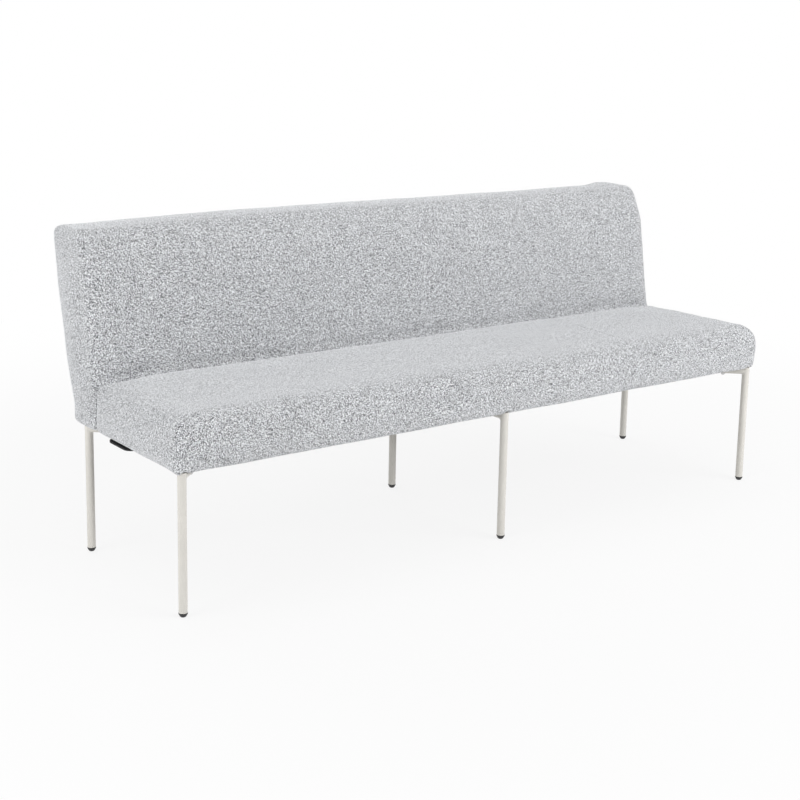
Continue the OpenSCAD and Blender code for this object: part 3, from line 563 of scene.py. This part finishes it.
def woven(name, light, dark, thread, roughness):
    """A flat weave of threads about this wide, with gaps as wide between them."""
    mat, tree, bsdf, place = new_material(name)
    # At scale 1 a wave texture draws about 6 light and dark stripes in each unit
    inputs = {"Vector": place, "Scale": 1 / thread / 6.0, "Distortion": 1.5, "Detail": 2}
    warp, weft = (
        add(tree, "ShaderNodeTexWave", inputs, bands_direction=way).outputs["Fac"] for way in "XY"
    )
    both = compute(tree, "MULTIPLY", warp, weft)
    feed(tree, bsdf, {
        "Base Color": ramp(tree, both, (0.1, dark), (0.8, light)),
        "Normal": relief(tree, both, 0.3, 0.4 * MM),
        "Roughness": roughness,
    })
    return mat


def zinc():
    mat, tree, bsdf, place = new_material("zinc_plate")
    spots = noise(tree, place, 260, 3, 0.6)
    feed(tree, bsdf, {
        "Base Color": ramp(tree, spots, (0.3, grey(0.5)), (0.7, grey(0.68))),
        "Roughness": ramp(tree, spots, (0.3, grey(0.28)), (0.7, grey(0.42))),
        "Metallic": 1.0,
    })
    return mat


# How much a grain changes along each axis
ALONG_X, EVEN = (0.06, 1, 1), (1, 1, 1)
# Light and dark colours of each
BEECH = (0.62, 0.45, 0.28), (0.50, 0.34, 0.20)
HARDBOARD = (0.33, 0.21, 0.12), (0.26, 0.16, 0.09)
FOAM = (0.86, 0.80, 0.62), (0.76, 0.70, 0.52)
CLOTH = (0.035, 0.035, 0.037), (0.015, 0.015, 0.016)
MATERIALS = {
    "cover_fabric": boucle(),
    "frame_steel": coated("powder_coat_light", (0.67, 0.65, 0.605), 0.42),
    "glide_plastic": coated("plastic_black", (0.012, 0.012, 0.013), 0.38, scale=500),
    "link_steel": coated("powder_coat_black", (0.008, 0.008, 0.009), 0.55, specular=0.2),
    "zinc_steel": zinc(),
    "frame_wood": grained("beech_wood", *BEECH, 0.6, ALONG_X, 60),
    "hardboard": grained("hardboard_brown", *HARDBOARD, 0.7, EVEN, 220),
    "foam": grained("foam_cream", *FOAM, 0.95, EVEN, 420),
    "webbing": woven("webbing_black", grey(0.06), grey(0.02), 3 * MM, 0.8),
    "bottom_cloth": woven("cloth_black", *CLOTH, 1.5 * MM, 0.9),
}
for part in frame["record"]["subparts"]:
    node_mesh = frame["nodes"][part["node"]].data
    node_mesh.materials.clear()
    node_mesh.materials.append(MATERIALS[part["material_slot"]])


def dress(obj, slot_name, smooth=True):
    """Gives a piece its material, body and slot."""
    obj.data.materials.clear()
    obj.data.materials.append(MATERIALS[slot_name])
    if smooth:
        obj.data.polygons.foreach_set("use_smooth", [True] * len(obj.data.polygons))
    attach(obj, "sofa")


# Seat and back
def line_distance(x, y, x0, y0, x1, y1):
    """Distance of points to a straight line between two places."""
    dx, dy = x1 - x0, y1 - y0
    t = np.clip(((x - x0) * dx + (y - y0) * dy) / (dx * dx + dy * dy), 0, 1)
    return np.hypot(x - x0 - t * dx, y - y0 - t * dy)


def tube_distance(x, y):
    """Distance to the nearest axis of a leg, an arm or the middle bar under the upholstery."""
    reach = ARM_LENGTH * DIAGONAL
    away = line_distance(x, y, MIDDLE_X, LEG_FRONT_Y, MIDDLE_X, LEG_REAR_Y)
    for side, y0, way in CORNER_LEGS:
        inner_x, inner_y = side * (LEG_X - reach), y0 + way * reach
        away = np.minimum(away, line_distance(x, y, side * LEG_X, y0, inner_x, inner_y))
    return away


def lip_depth(x, y, z, inward):
    """How far the padding hangs over the frame's lower edge, inward from the outline underneath.

    It is pressed flat over the tubes, and it leaves room for the link plate to swing.
    """
    front = fade(y, 8 * MM, 30 * MM) * fade(-x, 0.985, 0.995)
    deep = LIP_DEPTH + LIP_FRONT_MORE * front
    deep -= LIP_RIGHT_LESS * smooth_step(x, 0.2, 0.5)
    deep += LIP_RIGHT_END_MORE * smooth_step(x, 0.8, 0.97)
    deep += LIP_UNEVEN * waves(np.stack([x, y, 0 * z], 1), seed=21, size=0.13, octaves=4)
    deep += LIP_CORNER_MORE * bump(x, -HALF, 40 * MM) * bump(y, 0, 40 * MM)
    plate = smooth_step(-x, 0.9, 0.93) * smooth_step(y, *PLATE_BEGINS) * fade(y, *PLATE_ENDS)
    deep += (np.minimum(deep, LIP_OVER_PLATE) - deep) * plate
    deep *= smooth_step(tube_distance(x, y), *LIP_OFF_TUBE)
    deep *= smooth_step(np.hypot(x - LINK_X, y - LINK_Y), *LIP_OFF_LINK)
    deep *= smooth_step(np.hypot(x - STUD_X, y - LINK_Y), *LIP_OFF_STUD)
    return deep * fade(inward, LIP_FLAT, LIP_INNER) * fade(z, 0, LIP_HEIGHT)


def end_distance(x):
    return END_X - LIP_END_INSET - np.abs(x)


def fabric_seam(x, reach):
    """A sewn joint across the sofa: a fine cut between two slightly raised edges."""
    away = np.abs(x - SEAM_X)
    cut = 1.0 * MM * bump(away, 0, 1.3 * MM) + 0.5 * MM * bump(away, 0, 7 * MM)
    rise = 0.25 * MM * bump(away, 5 * MM, 2.5 * MM)
    return (rise - cut) * reach


def crease(u, v, a, b, width):
    """1 along a soft line from a to b, which fades out at both ends."""
    du, dv = b[0] - a[0], b[1] - a[1]
    t = ((u - a[0]) * du + (v - a[1]) * dv) / (du * du + dv * dv)
    across = ((u - a[0]) * dv - (v - a[1]) * du) / math.hypot(du, dv)
    return bump(across, 0, width) * smooth_step(t, -0.15, 0.2) * fade(t, 0.7, 1.15)


def seat_fill(x):
    """Towards the back the filled seat stands higher than at its drawn-down ends."""
    return SEAT_FILL * fade(x, 0.82, 0.97) * fade(-x, 0.84, 0.975)


def unevenness(co, fields):
    return sum(height * waves(co, *field) for height, *field in fields)


def detail_parts(obj):
    """Points, normals, the points' three coordinates, and 1 where a piece is free of its base."""
    co, no = coords(obj), vectors(obj.data.vertex_normals, "vector")
    x, y, z = co.T.copy()
    return co, no, x, y, z, smooth_step(z, DETAIL_FROM, DETAIL_FULL)


def seat_detail(obj):
    """Unevenness, seam and crease of the seat, its full right end and rear, and its lower edge."""
    co, no, x, y, z, free = detail_parts(obj)
    top = smooth_step(no[:, 2], 0.3, 0.9)
    d = unevenness(co, SEAT_UNEVEN) + fabric_seam(x, 1.0)
    d -= SEAT_CREASE_DEPTH * crease(x, y, *SEAT_CREASE) * top
    co += no * (d * free)[:, None]
    side = np.sin(math.pi * np.clip(z / SEAT_THICK, 0, 1)) ** 1.5
    co[:, 0] += SEAT_END_BULGE * smooth_step(x, 0.92, 0.985) * side
    co[:, 2] += seat_fill(x) * smooth_step(y, 0.1, 0.4) * smooth_step(z, 0.07, 0.12)
    co[:, 2] -= lip_depth(x, y, z, np.minimum(y - FRONT_SWELL, end_distance(x)))
    set_coords(obj, co)


def back_detail(obj):
    """Unevenness, seam and crease of the back, its groove, top line, corners and lower edge."""
    co, no, x, y, z, free = detail_parts(obj)
    ahead_side, top_side = smooth_step(-no[:, 1], -0.2, 0.3), smooth_step(no[:, 2], 0.2, 0.6)
    seam = fabric_seam(x, ahead_side + top_side * (no[:, 1] > 0.2))
    d = unevenness(co, BACK_UNEVEN) + seam
    d -= BACK_CREASE_DEPTH * crease(y, z, *BACK_CREASE) * smooth_step(-x, 0.95, 0.98)
    co += no * (d * free)[:, None]
    # A soft groove where the back's face comes up from behind the seat
    groove = SEAT_THICK - 2 * MM + seat_fill(x)
    groove -= GROOVE_END_DROP * smooth_step(np.abs(x), 0.94, 0.99)
    co[:, 1] += GROOVE_DEPTH * bump(z, groove, GROOVE_WIDTH) * smooth_step(-no[:, 1], 0.3, 0.8)
    # The filled top runs slightly higher left of the middle and slightly lower right of the seam
    rise = TOP_RISE_LEFT * smooth_step(x, -0.93, -0.72) * fade(x, -0.25, 0.15) + TOP_RISE
    rise -= TOP_DROP_RIGHT * smooth_step(x, 0.44, 0.62) * (1 - 0.8 * smooth_step(x, 0.86, 0.97))
    upper = smooth_step(z, BACK_HEIGHT - 40 * MM, BACK_HEIGHT - 5 * MM)
    rise += TOP_BUMP * bump(x, 0.93, 0.035) * upper
    co[:, 2] += rise * smooth_step(z, 0.2, 0.5)
    # The front of the back's upper corners is drawn in by its tight fabric
    drawn = np.where(x > 0, CORNER_DRAW_RIGHT, CORNER_DRAW_LEFT)
    drawn *= smooth_step(np.abs(x), 0.88, 0.985)
    drawn *= smooth_step(z, BACK_HEIGHT - 130 * MM, BACK_HEIGHT - 35 * MM)
    drawn *= 1 - 0.65 * smooth_step(z, BACK_HEIGHT - 95 * MM, BACK_HEIGHT - 15 * MM)
    co[:, 0] -= np.sign(x) * drawn * fade(y - face_line(z), 60 * MM, 130 * MM)
    # The left end is a little fuller between its lower and its upper part
    middle = smooth_step(z, 0.06, 0.14) * fade(z, 0.43, 0.5)
    co[:, 0] -= LEFT_END_FILL * smooth_step(-x, 0.9, 0.98) * middle
    co[:, 2] -= lip_depth(x, y, z, np.minimum(BACK_REAR - y, end_distance(x)))
    set_coords(obj, co)


def cut_seam_loops(mesh):
    """Adds edge loops beside the seam, fine enough to draw it."""
    for x in (SEAM_X + d * MM for d in SEAM_LOOPS):
        near = [f for f in mesh.faces if abs(f.calc_center_median().x - x) < 12 * MM]
        edges = {e for f in near for e in f.edges}
        verts = {v for f in near for v in f.verts}
        bmesh.ops.bisect_plane(
            mesh, geom=[*verts, *edges, *near],
            plane_co=(x, 0, 0), plane_no=(1, 0, 0), dist=0.05 * MM,
        )


def upholstery(name, lines, detail, *replaced):
    obj = loft(name, lines)
    puff(obj)
    apply_modifier(obj, "SMOOTH", factor=0.5, iterations=4)
    apply_modifier(obj, "SUBSURF", levels=1, render_levels=1)
    edit_mesh(obj, cut_seam_loops)
    detail(obj)
    set_coords(obj, on_seat(coords(obj)))
    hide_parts(*replaced)
    dress(obj, "cover_fabric")


upholstery("seat_upholstery", seat_lines(), seat_detail, "seat_cover", "seat_foam")
upholstery("back_upholstery", back_lines(), back_detail, "back_cover", "back_foam")


# Cloths under seat and back
def bottom_sheet(name, node, rests, y0, y1, bays):
    """A stapled cloth that sags a little in the bays, which are open stretches along x."""
    nx, ny = CLOTH_COLUMNS, max(int((y1 - y0) / CLOTH_CELL), 8)
    gx, gy = np.meshgrid(
        np.linspace(-CLOTH_X, CLOTH_X, nx), np.linspace(y0, y1, ny), indexing="ij"
    )
    sag = np.zeros_like(gx)
    for a, b in bays:
        u = np.clip((gx - a) / (b - a), 0, 1)
        v = np.clip((gy - y0 - CLOTH_EDGE) / (y1 - y0 - 2 * CLOTH_EDGE), 0, 1)
        sag += (np.sin(math.pi * u) * np.sin(math.pi * v)) ** 2 * (gx > a) * (gx < b)
    flat = np.stack([gx, gy, 0 * gx], -1).reshape(-1, 3)
    off_tube = smooth_step(tube_distance(flat[:, 0], flat[:, 1]), TUBE_R + 2 * MM, TUBE_R + 60 * MM)
    uneven = CLOTH_UNEVEN * waves(flat, seed=31, size=0.1, stretch=(1, 2.5, 1), octaves=4)
    flat[:, 2] = CLOTH_Z - sag.ravel() * off_tube * (CLOTH_SAG + uneven)
    faces = [
        (i * ny + j, i * ny + j + 1, (i + 1) * ny + j + 1, (i + 1) * ny + j)
        for i in range(nx - 1) for j in range(ny - 1)
    ]
    obj = mesh_piece(name, on_seat(flat), faces)
    apply_modifier(obj, "SOLIDIFY", thickness=CLOTH_THICK, offset=0)
    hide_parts(node)
    dress(obj, "bottom_cloth")


SEAT_CLOTH = (FRONT_SWELL + 22 * MM, SEAT_DEPTH - BOTTOM_R)
BACK_CLOTH = (BACK_FRONT + BOTTOM_R, tail_line(HEEL_R) - HEEL_R - 4 * MM)
SEAT_RAILS, BACK_RAILS = ["seat_front_rail", "seat_rear_rail"], ["back_bottom_rail"]
SEAT_BAYS = [(-0.95, -0.504), (-0.476, -0.032), (0.052, 0.476), (0.504, 0.95)]
bottom_sheet("seat_underside_cloth", "seat_bottom_cloth", SEAT_RAILS, *SEAT_CLOTH, SEAT_BAYS)
bottom_sheet("back_underside_cloth", "back_bottom_cloth", BACK_RAILS, *BACK_CLOTH, [])


def staple_places():
    """Places (x, y, 1 where it runs along y) along the edges of both cloths."""
    places = []
    for y0, y1 in (SEAT_CLOTH, BACK_CLOTH):
        along_x = np.arange(-CLOTH_X + STAPLE_EDGE, CLOTH_X - STAPLE_EDGE, STAPLE_PITCH)
        along_y = np.arange(y0 + STAPLE_EDGE, y1 - STAPLE_EDGE, STAPLE_PITCH)[1:]
        places += [(x, y, 0) for x in along_x for y in (y0 + STAPLE_EDGE, y1 - STAPLE_EDGE)]
        places += [(side * (CLOTH_X - STAPLE_EDGE), y, 1) for y in along_y for side in (-1, 1)]
    return places


def staples():
    """Wire staples of both cloths, left out where tubes and link parts cover them."""
    verts, faces = [], []
    rng = np.random.default_rng(5)
    top = CLOTH_Z - CLOTH_THICK / 2 + STAPLE_SUNK
    low = CLOTH_Z - CLOTH_THICK / 2 - STAPLE_PROUD
    knee = STAPLE_HALF - STAPLE_BEND
    wire = ((-STAPLE_HALF, top), (-knee, low), (knee, low), (STAPLE_HALF, top))
    for x, y, turned in staple_places():
        x = x + rng.normal() * STAPLE_SCATTER * (1 - turned)
        y = y + rng.normal() * STAPLE_SCATTER * turned
        off_link = np.hypot(x - LINK_X, y - LINK_Y) - LINK_SCREW_ROOM
        off_stud = np.hypot(x - STUD_X, y - LINK_Y) - STUD_ROOM
        off_tube = tube_distance(np.array([x]), np.array([y]))[0] - TUBE_R
        if off_tube < STAPLE_OFF_TUBE or min(off_link, off_stud) < STAPLE_OFF_LINK:
            continue
        a = rng.normal() * STAPLE_TURN + turned * math.pi / 2
        c, s = math.cos(a), math.sin(a)
        start = len(verts)
        for share, lift in ((1.0, 0.0), (WIRE_INNER, WIRE_THICK)):
            for u, z in wire:
                for v in (-WIRE_HALF, WIRE_HALF):
                    verts.append((x + u * c * share - v * s, y + u * s * share + v * c, z + lift))
        for k in range(3):
            p, q = start + 2 * k, start + 8 + 2 * k
            faces += [(p, p + 2, p + 3, p + 1), (q, q + 1, q + 3, q + 2)]
            faces += [(p, q, q + 2, p + 2), (p + 1, p + 3, q + 3, q + 1)]
        faces.append((start, start + 1, start + 9, start + 8))
        faces.append((start + 6, start + 14, start + 15, start + 7))
    dress(mesh_piece("cloth_staples", on_seat(np.array(verts)), faces), "zinc_steel", smooth=False)


staples()


def welds():
    """Weld fillets in the inner corners between the legs and the tubes they carry."""
    joints = [(MIDDLE_X, y, 0, way, MIDDLE_FILLET) for y, way in LEG_ROWS]
    joints += [
        (side * LEG_X, y, -side * DIAGONAL, way * DIAGONAL, ARM_FILLET)
        for side, y, way in CORNER_LEGS
    ]
    turns = np.radians(np.linspace(-86, 86, 33))
    arcs = np.radians(np.linspace(0, 90, 9))
    n = len(arcs) + 3
    verts, faces = [], []
    for x0, y0, tx, ty, size in joints:
        first = len(verts)
        for i, f in enumerate(turns):
            r = size * max(math.cos(f), 0.02) ** 0.6 * (1 + 0.04 * math.cos(i * 2.4))
            side, reach = TUBE_R * math.sin(f), TUBE_R * math.cos(f)
            ring = [(reach - WELD_SUNK, -reach - r)]
            ring += [(reach + r - r * math.cos(b), -reach - r + r * math.sin(b)) for b in arcs]
            ring += [(reach + r, -reach + WELD_SUNK), (reach - WELD_SUNK, -reach + WELD_SUNK)]
            for t, w in ring:
                verts.append((x0 + t * tx - side * ty, y0 + t * ty + side * tx, ARM_Z + w))
        last = first + (len(turns) - 1) * n
        for a in range(first, last, n):
            for j in range(n):
                k = (j + 1) % n
                faces.append((a + j, a + k, a + n + k, a + n + j))
        faces.append(tuple(range(first, first + n)))
        faces.append(tuple(range(last + n - 1, last - 1, -1)))
    obj = mesh_piece("frame_welds", on_seat(np.array(verts)), faces)
    edit_mesh(obj, lambda mesh: bmesh.ops.recalc_face_normals(mesh, faces=mesh.faces))
    dress(obj, "frame_steel")


welds()


# Stage, light and camera
def background_rays(tree):
    """1 for the rays that see a plain pale background: camera, glossy and transmission rays."""
    path = add(tree, "ShaderNodeLightPath").outputs
    seen = compute(tree, "MAXIMUM", path["Is Camera Ray"], path["Is Glossy Ray"])
    return compute(tree, "MAXIMUM", seen, path["Is Transmission Ray"])


def mix_to_output(tree, output, share, lit, seen):
    """The shader that is seen, in place of the one that is lit, by this share."""
    mix = add(tree, "ShaderNodeMixShader", {0: share, 1: lit.outputs[0], 2: seen.outputs[0]})
    add(tree, output, {"Surface": mix.outputs[0]})


FLOOR_HALF, FLOOR_COLOUR = 30, 0.8
# Near the sofa the floor's own shading, with the sofa's shadow, shows by 1 less this share
FLOOR_WHITE_NEAR, FLOOR_FADE = 0.84, (1.0, 3.0)
WORLD_STRENGTH = 0.5


def floor():
    s = FLOOR_HALF
    obj = mesh_piece("floor", [(-s, -s, 0), (s, -s, 0), (s, s, 0), (-s, s, 0)], [(0, 1, 2, 3)])
    mat = bpy.data.materials.new("floor_white")
    mat.use_nodes = True
    tree = mat.node_tree
    tree.nodes.clear()
    matt = add(tree, "ShaderNodeBsdfDiffuse", {"Color": (*grey(FLOOR_COLOUR), 1)})
    white = add(tree, "ShaderNodeEmission", {"Color": (1, 1, 1, 1), "Strength": 1.0})
    place = add(tree, "ShaderNodeTexCoord").outputs["Object"]
    away = add(tree, "ShaderNodeVectorMath", {0: place}, operation="LENGTH").outputs["Value"]
    near_to_far = fit_range(tree, away, FLOOR_FADE, (FLOOR_WHITE_NEAR, 1.0), "SMOOTHSTEP")
    share = compute(tree, "MULTIPLY", background_rays(tree), near_to_far)
    mix_to_output(tree, "ShaderNodeOutputMaterial", share, matt, white)
    obj.data.materials.append(mat)


def studio_world():
    world = bpy.data.worlds.new("studio")
    scene.world = world
    world.use_nodes = True
    tree = world.node_tree
    tree.nodes.clear()
    soft, white = (
        add(tree, "ShaderNodeBackground", {"Color": (1, 1, 1, 1), "Strength": strength})
        for strength in (WORLD_STRENGTH, 1.0)
    )
    mix_to_output(tree, "ShaderNodeOutputWorld", background_rays(tree), soft, white)


def area_light(name, place, aim, size, power):
    light = bpy.data.lights.new(name, "AREA")
    light.shape = "RECTANGLE"
    light.size, light.size_y = size
    light.energy = power
    obj = bpy.data.objects.new(name, light)
    scene.collection.objects.link(obj)
    obj.location = place
    obj.rotation_euler = (Vector(aim) - Vector(place)).to_track_quat("-Z", "Y").to_euler()


floor()
studio_world()
area_light("top_light", (0, 0.1, 4.6), (0, 0, 0.5), (5.5, 3.0), 30)
area_light("left_light", (-4.2, -0.45, 1.4), (0, 0, 0.5), (2.5, 2.0), 64)
area_light("front_light", (2.2, -3.9, 2.5), (0.1, 0, 0.5), (3.4, 2.0), 142)
area_light("rear_light", (0, 4.4, 2.2), (0, 0.3, 0.5), (4.0, 2.0), 55)

# The photograph's camera; its optical centre lies above the picture's middle
CAMERA_PLACE = (-2.573, -3.4135, 1.4909)
AZIMUTH, ELEVATION, ROLL = math.radians(-35.84), math.radians(11.59), math.radians(1.123)
FOCAL_PX, CENTRE_PX, PICTURE_PX, SENSOR_MM = 1523, 100, 800, 36


def photo_camera():
    level = math.cos(ELEVATION)
    forward = Vector((-math.sin(AZIMUTH) * level, math.cos(AZIMUTH) * level, -math.sin(ELEVATION)))
    right = Vector((math.cos(AZIMUTH), math.sin(AZIMUTH), 0))
    up = right.cross(forward)
    rolled_right = right * math.cos(ROLL) + up * math.sin(ROLL)
    rolled_up = -right * math.sin(ROLL) + up * math.cos(ROLL)
    camera = bpy.data.cameras.new("camera")
    camera.sensor_width = SENSOR_MM
    camera.lens = FOCAL_PX * SENSOR_MM / PICTURE_PX
    camera.shift_y = -CENTRE_PX / PICTURE_PX
    camera.clip_end = 200
    obj = bpy.data.objects.new("camera", camera)
    scene.collection.objects.link(obj)
    turn = Matrix((rolled_right, rolled_up, -forward)).transposed().to_4x4()
    obj.matrix_world = Matrix.Translation(CAMERA_PLACE) @ turn
    scene.camera = obj


photo_camera()
scene.view_settings.view_transform = "Standard"
